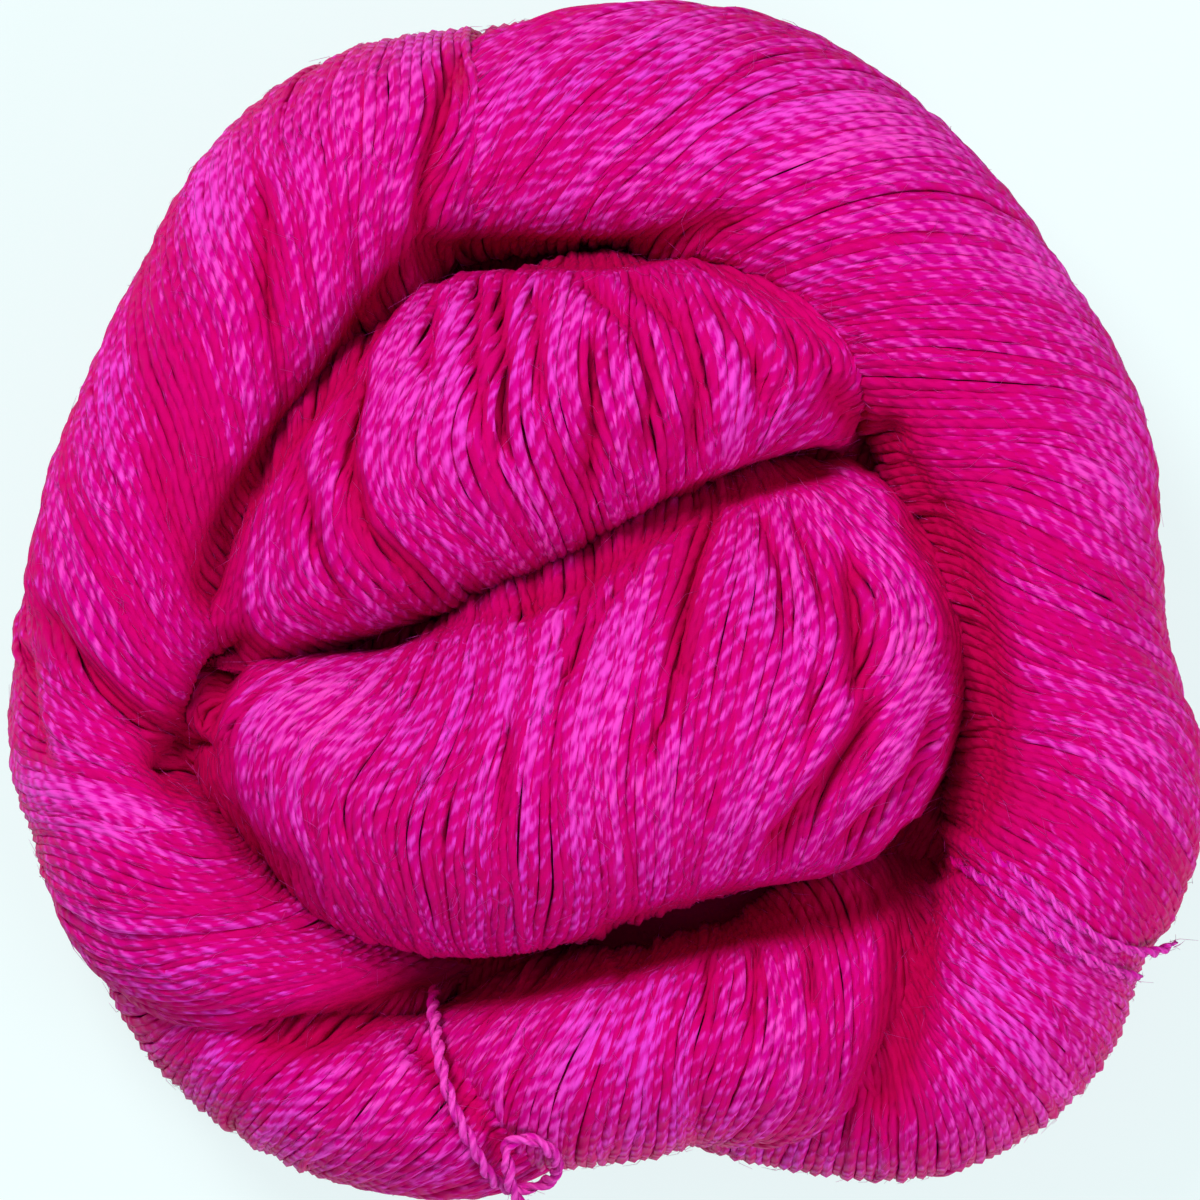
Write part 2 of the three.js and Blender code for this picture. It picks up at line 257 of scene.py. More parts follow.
class Shader:
    """A node tree, made with one method that adds and links a node."""

    def __init__(self, tree):
        self.tree = tree
        tree.nodes.clear()

    def add(self, kind, settings=None, values=None, output=0):
        """Adds a node of that kind, sets it up, fills its sockets and gives one of its outputs."""
        node = self.tree.nodes.new(kind)
        for name, setting in (settings or {}).items():
            setattr(node, name, setting)
        for name, value in (values or {}).items():
            if isinstance(value, Value):
                self.tree.links.new(value.socket, node.inputs[name])
            else:
                node.inputs[name].default_value = value
        return Value(self, node.outputs[output])

    def mix(self, factor, first, second):
        """A colour between two others."""
        settings = {"data_type": "RGBA", "clamp_factor": True}
        return self.add("ShaderNodeMix", settings, {0: factor, 6: first, 7: second}, 2)

    def finish(self, surface, kind="ShaderNodeOutputMaterial"):
        """Sends a surface to the tree's output."""
        node = self.tree.nodes.new(kind)
        self.tree.links.new(surface.socket, node.inputs["Surface"])

    def backdrop(self, plain, seen):
        """One surface, and another where the camera, a mirror or glass shows it."""
        camera, mirror, glass = (
            self.add("ShaderNodeLightPath", output=f"Is {ray} Ray")
            for ray in ("Camera", "Glossy", "Transmission")
        )
        return self.add(
            "ShaderNodeMixShader", values={0: camera + mirror + glass, 1: plain, 2: seen}
        )


def new_material(name):
    """A material and the shader that makes its nodes."""
    material = bpy.data.materials.new(name)
    material.use_nodes = True
    return material, Shader(material.node_tree)


def opaque(colour):
    """A colour with its alpha."""
    return (*colour, 1.0)


# Scales of the yarn's noise, in periods for each metre.
BROAD_SCALE = 45.0
PATCH_SCALE = 190.0
MOTTLE_SCALE = 1300.0
SPECK_SCALE = 2400.0


def yarn_material(name, colours, sheen, ply_turn=0.0):
    """Dyed silky yarn: turned plies, a tone for each strand, fine fibres and a tinted sheen.

    The colours are the painted shade in grooves, the shade, the usual colour and the painted
    highlight where it is brightest. With no ply turn, the yarn has no map along it, and is mottled
    and matt instead.
    """
    deep, shade, usual, painted_highlight = colours
    material, shader = new_material(name)
    place = shader.add("ShaderNodeTexCoord", output="Object")

    def noise(where, scale, detail):
        return shader.add(
            "ShaderNodeTexNoise", values={"Vector": where, "Scale": scale, "Detail": detail}
        )

    broad = noise(place, BROAD_SCALE, 1.0)
    patches = noise(place, PATCH_SCALE, 2.0)
    if ply_turn:
        along = shader.add("ShaderNodeUVMap", {"uv_map": "Strand"})
        u, v = (
            shader.add("ShaderNodeSeparateXYZ", values={"Vector": along}, output=axis)
            for axis in "XY"
        )

        def stretched(around, length):
            """A place for noise with so many periods round a strand and one in that length."""
            scale = (around, 1 / length, 1.0)
            return shader.add("ShaderNodeMapping", values={"Vector": along, "Scale": scale})

        uneven = 10.0 * noise(stretched(0.0, 5 * MM), 1.0, 1.0)
        plies = 0.5 + 0.5 * (4 * math.pi * u - (4 * math.pi / ply_turn) * v + uneven).cosine()
        fibres = noise(stretched(11.0, 1.3 * MM), 1.0, 3.0)
        dashes = noise(stretched(3.4, 2.8 * MM), 1.0, 1.0)
        tone, glow = (
            shader.add("ShaderNodeAttribute", {"attribute_name": name}, output="Fac")
            for name in ("tone", "glow")
        )
    else:
        plies = noise(place, MOTTLE_SCALE, 1.0)
        fibres = dashes = noise(place, SPECK_SCALE, 2.0)
        # The packed yarn has no painted light: a broad random mottle takes its place.
        tone, glow = patches, broad

    # Each sum weighs the patterns, less what keeps its colour off most of the yarn. The first
    # darkens
    # towards the shade colour: random tone, with painted shade between the plies and from the
    # painted light. The second gives painted highlights: flecks on the ply crests and the painted
    # sheen.
    tone_and_painted_shade = 0.35 * plies + 1.7 * dashes + 0.5 * fibres + 0.8 * tone + 0.6 * patches + 1.0 * glow
    base = shader.mix(tone_and_painted_shade - 1.95, opaque(shade), opaque(usual))
    lights = 1.25 * glow + 0.7 * broad + 2.4 * dashes + 2.1 * fibres + 0.6 * patches
    lights = lights + 0.9 * plies + 0.9 * tone - 4.37
    # The painted highlight turns violet here and there, after broad noise.
    violet = [c * tint for c, tint in zip(painted_highlight, (0.85, 0.8, 1.2))]
    base = shader.mix(lights, base, shader.mix(3.0 * broad - 1.25, opaque(painted_highlight), opaque(violet)))
    # Painted shade in creases and grooves: the deep colour where the painted light falls low.
    base = shader.mix(-0.8 * glow, base, opaque(deep))
    bump = shader.add(
        "ShaderNodeBump",
        values={"Strength": 0.8, "Distance": 0.22 * MM, "Height": 0.7 * plies + 0.6 * fibres},
    )
    surface = shader.add(
        "ShaderNodeBsdfPrincipled",
        values={
            "Base Color": base,
            "Roughness": 0.38 + 0.15 * fibres,
            "IOR": 1.13,
            "Specular IOR Level": 0.5 if ply_turn else 0.0,
            "Specular Tint": opaque(sheen),
            "Sheen Weight": 0.06 if ply_turn else 0.0,
            "Sheen Roughness": 0.35,
            "Sheen Tint": opaque(sheen),
            "Normal": bump,
        },
    )
    shader.finish(surface)
    return material


def paper_material(name, colour):
    """The pale surface under the skein. The camera sees it lifted, so that it stays pale."""
    material, shader = new_material(name)

    def paper(brightness):
        tint = opaque([channel * brightness for channel in colour])
        return shader.add("ShaderNodeBsdfDiffuse", values={"Color": tint})

    plain, matte = paper(0.8), paper(0.2)
    lift = shader.add("ShaderNodeEmission", values={"Color": opaque(colour), "Strength": 0.8})
    lifted = shader.add("ShaderNodeAddShader", values={0: matte, 1: lift})
    shader.finish(shader.backdrop(plain, lifted))
    return material


# ---- the bundles' surfaces ----


def catmull_rom(rows, steps):
    """A smooth curve through rows of numbers, with that many steps between two rows."""
    rows = np.asarray(rows, float)
    rows = np.vstack([2 * rows[0] - rows[1], rows, 2 * rows[-1] - rows[-2]])
    place = np.linspace(0, len(rows) - 3, (len(rows) - 3) * steps + 1)
    first = np.minimum(place.astype(int), len(rows) - 4)
    t = (place - first)[:, None]
    a, b, c, d = (rows[first + i] for i in range(4))
    return 0.5 * (
        2 * b + (c - a) * t + (2 * a - 5 * b + 4 * c - d) * t**2 + (3 * b - a - 3 * c + d) * t**3
    )


def resampled(table, along, at):
    """A table's rows, given at distances along a line, at other distances."""
    return np.stack([np.interp(at, along, column) for column in table.T], -1)


def unit(vectors):
    """The same directions, one long."""
    return vectors / np.maximum(np.linalg.norm(vectors, axis=-1, keepdims=True), 1e-12)


def run_length(points):
    """How far along a line of points each one is."""
    steps = np.linalg.norm(np.diff(points, axis=0), axis=1)
    return np.concatenate([[0.0], np.cumsum(steps)])


def smooth_step(low, high, values):
    """0 below low, 1 above high, and an even turn between them."""
    t = np.clip((values - low) / (high - low), 0, 1)
    return t * t * (3 - 2 * t)


class Bundle:
    """A length of the hank on one run: a spine, with an oval section that changes along it."""

    STEP = 0.4 * MM  # along the spine
    INNER_SIDE = math.radians(50), math.radians(130)  # where the outer lean gives way to the inner

    def __init__(self, name, rows):
        rows = np.array(rows, float) * MM
        rows[:, :2] -= np.array(OUTLINE_CENTRE) * MM
        fine = catmull_rom(rows, steps=24)
        along = run_length(fine[:, :3])
        self.name = name
        self.walls = name not in MIDDLE_BUNDLES
        self.length = along[-1]
        self.at = np.arange(0, self.length, self.STEP)
        self.rows = resampled(fine, along, self.at)
        tangent = unit(np.gradient(self.rows[:, :3], self.at, axis=0))
        side = unit(np.cross(tangent, (0, 0, 1)))
        self.frames = np.hstack([tangent, side, np.cross(side, tangent)])

    def lean(self, s, angle):
        """How far along the spine a strand has run by that angle, counted from the top."""
        leans = resampled(self.rows[:, 5:7], self.at, s)
        inner = smooth_step(*self.INNER_SIDE, angle)
        lean = leans[..., 0] * (1 - inner) + leans[..., 1] * inner
        turn = -np.cos(angle)
        if self.walls:
            turn = np.where(angle < math.pi / 2, angle - math.pi / 2, turn)
        return lean * turn

    def surface(self, s, angle, lift):
        """Points of the surface at distances s and angles round it, lifted off it, and normals."""
        s = np.clip(s, 0, self.at[-1])
        rows = resampled(self.rows[:, :5], self.at, s)
        frames = resampled(self.frames, self.at, s)
        side, up = unit(frames[..., 3:6]), unit(frames[..., 6:9])
        across, rise = np.cos(angle), np.sin(angle)
        width, height = rows[..., 3] + lift, rows[..., 4] + lift
        points = (
            rows[..., :3]
            + side * (width * across)[..., None]
            + up * (height * rise)[..., None]
        )
        normals = unit(
            side * (across / rows[..., 3])[..., None] + up * (rise / rows[..., 4])[..., None]
        )
        return points, normals

    def starts(self, spacing, random):
        """Where strands cross the bundle's top, so that they lie that far apart."""
        angles = np.radians(np.arange(-20, 181, 20.0))
        s = self.at[:, None] + np.zeros(len(angles))
        placed = s + self.lean(s, angles)
        points, _ = self.surface(placed, angles + np.zeros_like(s), 0.0)
        onward = np.gradient(points, self.at, axis=0)
        strand = unit(np.gradient(points, angles, axis=1))
        apart = np.linalg.norm(np.cross(onward, strand), axis=-1)
        density = np.percentile(apart, 94, axis=1) / spacing
        count = np.concatenate([[0], np.cumsum(density[:-1] * self.STEP)])
        wanted = np.arange(0.5, count[-1], 1.0)
        wanted += random.uniform(-0.12, 0.12, len(wanted))
        return np.interp(wanted, count, self.at)


def waves(random, count, long_wave, short_wave, amplitude):
    """Slow noise for each of many strands: a function of distance, or of angle, along it."""
    terms = 3
    lengths = random.uniform(short_wave, long_wave, (count, terms))
    phases = random.uniform(0, 2 * math.pi, (count, terms))
    sizes = random.uniform(0.4, 1.0, (count, terms)) * amplitude / math.sqrt(terms)

    def at(where):
        turns = where[..., None] * (2 * math.pi / lengths[:, None, :]) + phases[:, None, :]
        return (sizes[:, None, :] * np.sin(turns)).sum(-1)

    return at


def in_the_frame(places):
    """Places in millimetres on the hank's outline, as metres in the part's own frame."""
    return (np.asarray(places, float) - OUTLINE_CENTRE) * MM


GROOVE_END = 1.5 * MM  # a groove fades out over as much on either side of its end
GROOVED = 6 * MM, 13 * MM  # heights between which the grooves come in
# The painted sheen and shade come in only on the upper side, between these heights.
SHEEN_FROM = 9 * MM, 17 * MM  # heights between which the sheen's patches come in


def sunk_into_grooves(points, normals):
    """Moves points into the creases and grooves, against their normals."""
    sunk = np.zeros(points.shape[:-1])
    for half_width, depth, places in GROOVES:
        line = in_the_frame(places)
        along = run_length(line)
        nearest = np.full(sunk.shape, np.inf)
        place = np.zeros(sunk.shape)
        for start, end, passed in zip(line[:-1], line[1:], along[:-1]):
            length = np.linalg.norm(end - start)
            t = np.clip((points[..., :2] - start) @ (end - start) / length**2, 0, 1)
            away = np.linalg.norm(points[..., :2] - start - t[..., None] * (end - start), axis=-1)
            place = np.where(away < nearest, passed + t * length, place)
            nearest = np.minimum(nearest, away)
        ends = smooth_step(-GROOVE_END, GROOVE_END, np.minimum(place, along[-1] - place))
        depth_here = depth * MM * ends * np.exp(-((nearest / (half_width * MM)) ** 2))
        sunk = np.maximum(sunk, depth_here)
    sunk *= smooth_step(*GROOVED, points[..., 2])
    return points - normals * sunk[..., None]


def painted_light_at(points):
    """The painted highlight and painted shade at each point, from -1 to 1, on the upper side."""
    usual = 0.5
    glow = np.full(len(points), usual)
    for x, y, reach_x, reach_y, amount in PAINTED_SHEEN_AND_SHADE:
        away = (points[:, :2] - in_the_frame((x, y))) / (reach_x * MM, reach_y * MM)
        glow += amount * np.exp(-(away**2).sum(1))
    top = smooth_step(*SHEEN_FROM, points[:, 2])
    return np.clip(usual + (glow - usual) * top, -1, 1)


# ---- meshes from arrays ----


def new_object(name, mesh, material):
    """Shows a mesh, in the object's own frame."""
    piece = bpy.data.objects.new(name, mesh)
    bpy.context.scene.collection.objects.link(piece)
    mesh.materials.append(material)
    return piece


def mesh_of_faces(name, points, quads, caps):
    """A smooth mesh of four-sided faces, and of caps that all have as many corners."""
    mesh = bpy.data.meshes.new(name)
    mesh.vertices.add(len(points))
    mesh.vertices.foreach_set("co", points.astype(np.float32).ravel())
    corners = np.concatenate([quads.ravel(), caps.ravel()]).astype(np.int32)
    mesh.loops.add(len(corners))
    mesh.loops.foreach_set("vertex_index", corners)
    starts = [np.arange(len(quads)) * 4, quads.size + np.arange(len(caps)) * caps.shape[1]]
    mesh.polygons.add(len(quads) + len(caps))
    mesh.polygons.foreach_set("loop_start", np.concatenate(starts).astype(np.int32))
    mesh.update(calc_edges=True)
    mesh.shade_smooth()
    return mesh


# How many sides the tubes have.
CORD_SIDES, STRAND_SIDES, UNDERSIDE_SIDES, DEEP_SIDES, FIBRE_SIDES = 8, 6, 5, 4, 3

# Painted shade, taken off a strand's painted light: for its depth, and on a bundle's sides.
DEPTH_SHADE = 0.8 / MM  # how much a strand's glow falls with its depth
FLANK_SHADE = 0.5  # and on the sides of a bundle
FLANK = 0.0, 0.55  # how far up normals point, between the sides and the top
PATTERN_SHIFT = 17.3 * MM  # how far one strand's pattern is ahead of the last one's


def strand_mesh(name, strands, sides, material):
    """One mesh of many strands. A strand is its points, normals, radii, tone and depths."""
    lines, facings, radii, tones, depths = zip(*strands)
    counts = np.array([len(line) for line in lines])
    first = np.concatenate([[0], np.cumsum(counts)[:-1]])
    last = first + counts - 1
    points, normals, radii = (np.concatenate(part) for part in (lines, facings, radii))
    along = np.concatenate([run_length(line) for line in lines])
    owner = np.repeat(np.arange(len(strands)), counts)
    # Painted light: the painted sheen and shade, less painted shade for depth and on a bundle's
    # sides.
    glow = painted_light_at(points) - DEPTH_SHADE * np.concatenate(depths)
    glow -= FLANK_SHADE * (1 - smooth_step(*FLANK, normals[:, 2]))
    tangent = unit(np.concatenate([np.gradient(line, axis=0) for line in lines]))
    normals = unit(normals - tangent * (normals * tangent).sum(1, keepdims=True))
    across = np.cross(tangent, normals)
    column = np.arange(sides)
    angle = column * (2 * math.pi / sides)
    rings = (
        points[:, None]
        + normals[:, None] * (np.cos(angle) * radii[:, None])[..., None]
        + across[:, None] * (np.sin(angle) * radii[:, None])[..., None]
    )
    rings[..., 2] = np.maximum(rings[..., 2], 0)
    ring = np.flatnonzero(owner[:-1] == owner[1:])
    faces = tube_faces(ring, sides)
    caps = np.concatenate([first[:, None] * sides + column[::-1], last[:, None] * sides + column])
    mesh = mesh_of_faces(name, rings.reshape(-1, 3), faces, caps)
    for label, values in (("tone", np.repeat(tones, counts)), ("glow", np.clip(glow, -1, 1))):
        attribute = mesh.attributes.new(label, "FLOAT", "POINT")
        attribute.data.foreach_set("value", np.repeat(values, sides).astype(np.float32))

    # The first map runs round and along each strand. The second lays the strands out in rows,
    # so that every part of every strand has a place of its own in a picture.
    shape = (len(ring), sides, 4)
    around = np.stack([column, column + 1, column + 1, column], -1) / sides
    around = np.broadcast_to(around, shape)
    v = np.stack([along[ring], along[ring], along[ring + 1], along[ring + 1]], -1)
    v = np.broadcast_to(v[:, None], shape)
    of_ring = owner[ring][:, None, None]
    row, x, row_length = packed_rows(along[last], 2 * math.pi * radii.mean())
    rows = row[-1] + 1
    maps = {
        "Strand": (around, v + of_ring * PATTERN_SHIFT),
        "OFBake": (
            (x[of_ring] + v) / (row_length * 1.01), (row[of_ring] + 0.06 + 0.88 * around) / rows,
        ),
    }
    for label, axes in maps.items():
        corners = np.zeros((len(mesh.loops), 2), np.float32)
        for axis, values in enumerate(axes):
            corners[: faces.size, axis] = values.ravel()
        mesh.uv_layers.new(name=label).data.foreach_set("uv", corners.ravel())
    return new_object(name, mesh, material)


def tube_faces(ring, sides):
    """Four-sided faces from each of those rings of corners to the next one."""
    column = np.arange(sides)
    after = (column + 1) % sides
    low, high = ring[:, None] * sides, (ring[:, None] + 1) * sides
    return np.stack([low + column, low + after, high + after, high + column], -1).reshape(-1, 4)


def packed_rows(lengths, girth):
    """A row and a start in it for each of many strips, side by side in a square, and its width."""
    row_length = math.sqrt(max(lengths.sum() * girth, lengths.max() ** 2)) * 1.06
    row, x = np.zeros(len(lengths)), np.zeros(len(lengths))
    used, line = 0.0, 0
    for i, length in enumerate(lengths):
        if used + length > row_length:
            used, line = 0.0, line + 1
        row[i], x[i] = line, used
        used += length + 0.3 * MM
    return row, x, row_length


# ---- the strands ----


# How one layer of strands lies on the bundles: its height over them, the strands' radius, how far
# apart they lie, the length of their pieces, how rough they are, how far they drift sideways and
# how much more painted shade they get, as if they lay that much deeper.
Lay = namedtuple("Lay", "lift radius spacing step rough drift depth", defaults=(1.0, 0.0, 0.0))


def hank_surface():
    """The hank's own surface, to find what is buried or out of sight."""
    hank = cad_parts["skein"]
    vertices = [hank.matrix_world @ v.co for v in hank.data.vertices]
    return BVHTree.FromPolygons(vertices, [tuple(p.vertices) for p in hank.data.polygons])


def spread_directions(count):
    """Evenly spread directions."""
    i = np.arange(count) + 0.5
    z = 1 - 2 * i / count
    turn = i * math.pi * (1 + math.sqrt(5))
    ring = np.sqrt(1 - z * z)
    return np.stack([ring * np.cos(turn), ring * np.sin(turn), z], 1)


BURIED = 5.0 * MM  # how deep under the hank's own surface nothing can be seen any more
LOOKS = [Vector(d) for d in spread_directions(150) if d[2] > -0.15]
SEEN_STEP = 2.5 * MM  # between the places along a bundle that are tested
SEEN_ANGLES = np.radians(np.arange(-90, 211, 7.5))  # and round it
MARGIN = 2  # how many of those places past what can be seen are kept


def in_sight(tree, point, normal):
    """True where something outside the hank can be seen from just above a point."""
    origin = point + normal * (0.3 * MM)
    return any(
        look.dot(normal) > 0.05 and tree.ray_cast(origin, look, 0.3)[0] is None for look in LOOKS
    )


def seen_parts(bundle, tree):
    """A grid of a bundle's surface, which says what can be seen of it."""
    s = np.arange(0, bundle.length, SEEN_STEP)
    angle = SEEN_ANGLES
    points, _ = bundle.surface(
        s[:, None] + np.zeros(len(angle)), angle + np.zeros((len(s), 1)), lift=-0.4 * MM
    )
    seen = np.zeros(points.shape[:2])
    for i, j in np.ndindex(*seen.shape):
        if points[i, j, 2] < -1.5 * MM:  # under the surface that the skein lies on
            continue
        place, normal, _, depth = tree.find_nearest(Vector(points[i, j]))
        if depth < BURIED and in_sight(tree, place, normal):
            seen[i, j] = 1
    wider, shifts = np.pad(seen, MARGIN), range(2 * MARGIN + 1)
    seen = np.max([wider[i : i + len(s), j : j + len(angle)] for i in shifts for j in shifts], 0)
    return s, angle, seen


def looked_up(grid, s, angle):
    """The grid's value at places between its points."""

    def place_in(axis, at):
        place = np.clip((at - axis[0]) / (axis[1] - axis[0]), 0, len(axis) - 1.001)
        return place.astype(int), place % 1

    s_grid, angle_grid, values = grid
    (i, u), (j, v) = place_in(s_grid, s), place_in(angle_grid, angle)
    before = values[i, j] * (1 - u) + values[i + 1, j] * u
    after = values[i, j + 1] * (1 - u) + values[i + 1, j + 1] * u
    return before * (1 - v) + after * v


# A strand's waves: the longest, the shortest and how far they reach.
SIDEWAYS = 30 * MM, 8 * MM, 0.10 * MM
UP_AND_DOWN = 14 * MM, 5 * MM, 0.11 * MM
SWELLING = 9 * MM, 2.5 * MM, 0.09

FIT = 0.95, 1.3  # how far a strand narrows or swells to fill the room between its neighbours
SHORTEST = 3 * MM  # stretch of a strand that is still laid
LAID_ANGLES = np.radians(np.arange(-88, 206, 2.0))


def laid_strands(bundle, lay, groups, tree, seen, random):
    """The strands of one layer on one bundle, cut to what can be seen of them."""
    starts = bundle.starts(lay.spacing, random)
    count = len(starts)
    angle = LAID_ANGLES + np.zeros((count, 1))
    reach = angle * 15 * MM  # roughly how far round the bundle an angle is
    own = lay.rough * waves(random, count, *SIDEWAYS)(reach)
    sway = shared_waves(random, starts, angle)
    shift, sag = drawn_together(groups, starts, angle)
    middle = random.uniform(10, 160, (count, 1))
    drift = random.uniform(-lay.drift, lay.drift, (count, 1))
    slant = drift * np.tanh((np.degrees(angle) - middle) / 35)
    s = starts[:, None] + own + sway + shift + slant
    s = s + bundle.lean(s, angle)
    high = lay.rough * waves(random, count, *UP_AND_DOWN)(reach)
    level = lay.rough * random.normal(0, 0.09 * MM, (count, 1))
    flush, normals = bundle.surface(s, angle, lay.lift + high + level - sag)
    points = sunk_into_grooves(flush, normals)
    # How deep each point lies, which sets its painted shade.
    sunk = sag + np.linalg.norm(points - flush, axis=-1) + lay.depth
    points[..., 2] = np.maximum(points[..., 2], lay.radius * 0.95)
    onward, along_it = np.gradient(points, axis=0), unit(np.gradient(points, axis=1))
    apart = np.linalg.norm(np.cross(onward, along_it), axis=-1)
    fit = np.clip(apart / lay.spacing, *FIT)
    flat, _ = bundle.surface(s, angle, lay.lift)
    inside = (s > 0) & (s < bundle.at[-1]) & (flat[..., 2] > -0.8 * MM)
    kept = (looked_up(seen, s, angle) > 0.02) & inside
    strands = []
    for i in range(count):
        for first, last in kept_runs(kept[i], flat[i], tree):
            part = slice(first, last + 1)
            along = run_length(points[i, part])
            if along[-1] < SHORTEST:
                continue
            at = np.linspace(0, along[-1], max(3, round(along[-1] / lay.step) + 1))
            line = resampled(points[i, part], along, at)
            facing = resampled(normals[i, part], along, at)
            swell = waves(random, 1, *SWELLING)(at[None])[0]
            plump = np.interp(at, along, fit[i, part])
            radius = lay.radius * plump * (1 + swell) * random.uniform(0.9, 1.1)
            deep = np.interp(at, along, sunk[i, part])
            strands.append((line, facing, radius, random.random(), deep))
    return strands


def shared_waves(random, starts, angle):
    """A slow sideways sway that neighbouring strands share."""
    sway = np.zeros_like(angle)
    for _ in range(5):
        wave, turns = random.uniform(12, 40) * MM, random.uniform(1.2, 3.0)
        phase = random.uniform(0, 2 * math.pi)
        sway += 0.25 * MM * np.sin(starts[:, None] * 2 * math.pi / wave + angle * turns + phase)
    return sway


# How many strands are in the first group and in the others: the least, and one past the most.
FIRST_GROUP, GROUP = (2, 5), (3, 7)


def groups_of(bundle, spacing):
    """Where a bundle's strands part into groups.

    A parting is its place and reach along the bundle, its middle and spread round it in degrees,
    and its depth.
    """
    random = random_for("groups_" + bundle.name)
    starts = bundle.starts(spacing, random)
    strength = GROUPING[bundle.name]
    groups = []
    edge = random.integers(*FIRST_GROUP)
    while edge < len(starts) - 1:
        place = (starts[edge] + starts[edge + 1]) / 2
        reach = 1.3 * (starts[edge + 1] - starts[edge])
        middle, spread = random.uniform(10, 165), random.uniform(30, 85)
        groups.append((place, reach, middle, spread, random.uniform(0.2, 1.0) * MM * strength))
        edge += random.integers(*GROUP)
    return groups


def drawn_together(groups, starts, angle):
    """How far strands move sideways and sink where they part into groups."""
    shift, sag = np.zeros_like(angle), np.zeros_like(angle)
    for place, reach, middle, spread, depth in groups:
        away = ((starts - place) / reach)[:, None]
        here = depth * np.exp(-(((np.degrees(angle) - middle) / spread) ** 2))
        sag = np.maximum(sag, here * np.exp(-(away**2)))
        shift += 0.12 * np.sign(away) * here * np.exp(-abs(away))
    return shift, sag


def kept_runs(kept, points, tree):
    """The stretches of a strand that are kept: in sight, and not deep in another bundle."""
    kept = kept.copy()
    for i in np.flatnonzero(kept)[::2]:
        depth = tree.find_nearest(Vector(points[i]))[3]
        if depth > BURIED:
            kept[i : i + 2] = False
    edges = np.flatnonzero(np.diff(np.concatenate([[0], kept.astype(int), [0]])))
    return [(first, end - 1) for first, end in zip(edges[::2], edges[1::2]) if end - first > 3]


# ---- settings ----


def size_setting(name, description, default, least, most):
    """A size that is given in millimetres and shown as a length."""
    return FloatProperty(
        name=name, description=description, default=default * MM, min=least * MM, max=most * MM,
        subtype="DISTANCE", unit="LENGTH", precision=5,
    )


def colour_setting(name, description, default):
    """A colour, as its shares of red, green and blue light."""
    return FloatVectorProperty(
        name=name, description=description, default=default, min=0, max=1, size=3,
        subtype="COLOR",
    )


class SkeinSettings(bpy.types.PropertyGroup):
    """Sizes and colours of the yarn."""

    strand_radius: size_setting(
        "Strand radius", "Half the thickness of the plied yarn", 0.59, 0.1, 3
    )
    strand_spacing: size_setting(
        "Strand spacing", "Distance between two strands side by side", 1.05, 0.3, 6
    )
    strand_lift: size_setting(
        "Strand lift", "Height of a strand's middle over the hank's own surface", -0.2, -3, 3
    )
    ply_turn: size_setting(
        "Ply turn", "Length of yarn in which its two plies turn once", 4.4, 0.5, 20
    )
    fuzz_fibres: IntProperty(
        name="Loose fibres", description="How many fibres stand out from the yarn",
        default=8000, min=0, max=18000,
    )
    yarn_colour: colour_setting(
        "Yarn colour", "Colour of the strands' fibres", (0.64, 0.002, 0.34)
    )
    # Random darker strands, with painted shade between plies and in grooves.
    shade_colour: colour_setting(
        "Shade colour", "Colour of the darker strands and fibres", (0.60, 0.001, 0.15)
    )
    # Painted shade in creases and grooves.
    crease_shade_colour: colour_setting(
        "Deep colour", "Colour of the yarn in creases and grooves", (0.50, 0.001, 0.065)
    )
    # Painted shade: darker than the yarn, for where the packed yarn shows deep between the bundles.
    packed_shade_colour: colour_setting(
        "Packed colour", "Colour of the packed yarn under the strands", (0.46, 0.001, 0.075)
    )
    # Painted highlight.
    painted_highlight_colour: colour_setting(
        "Bright colour", "Colour where the silk is brightest", (0.92, 0.066, 0.55)
    )
    # The tie's own brighter colour. On the cords it is also the painted highlight colour.
    tie_colour: colour_setting(
        "Tie colour", "Colour of the tie and of the raised ends", (1.0, 0.09, 0.60)
    )
    sheen_colour: colour_setting("Sheen colour", "Tint of the silk's sheen", (1.0, 0.06, 1.0))
    paper_colour: colour_setting(
        "Background colour", "Colour of the surface that the skein lies on", (0.863, 0.991, 0.991)
    )


def random_for(name):
    """A random source of its own for each piece, the same in every run."""
    return np.random.default_rng([SEED, *name.encode()])


def of_the_yarn(piece, node="skein"):
    """Ties a piece to the part: what it moves with and what it stands for."""
    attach(piece, "root")
    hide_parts(node)
    return piece


def studio_world(colour):
    """A soft even light all round, which the camera sees as a pale backdrop."""
    world = bpy.data.worlds.new("studio")
    world.use_nodes = True
    shader = Shader(world.node_tree)
    soft, pale = (
        shader.add("ShaderNodeBackground", values={"Color": opaque(tint), "Strength": strength})
        for tint, strength in (((0.93, 0.97, 1.0), 0.40), (colour, 0.9))
    )
    shader.finish(shader.backdrop(soft, pale), "ShaderNodeOutputWorld")
    return world


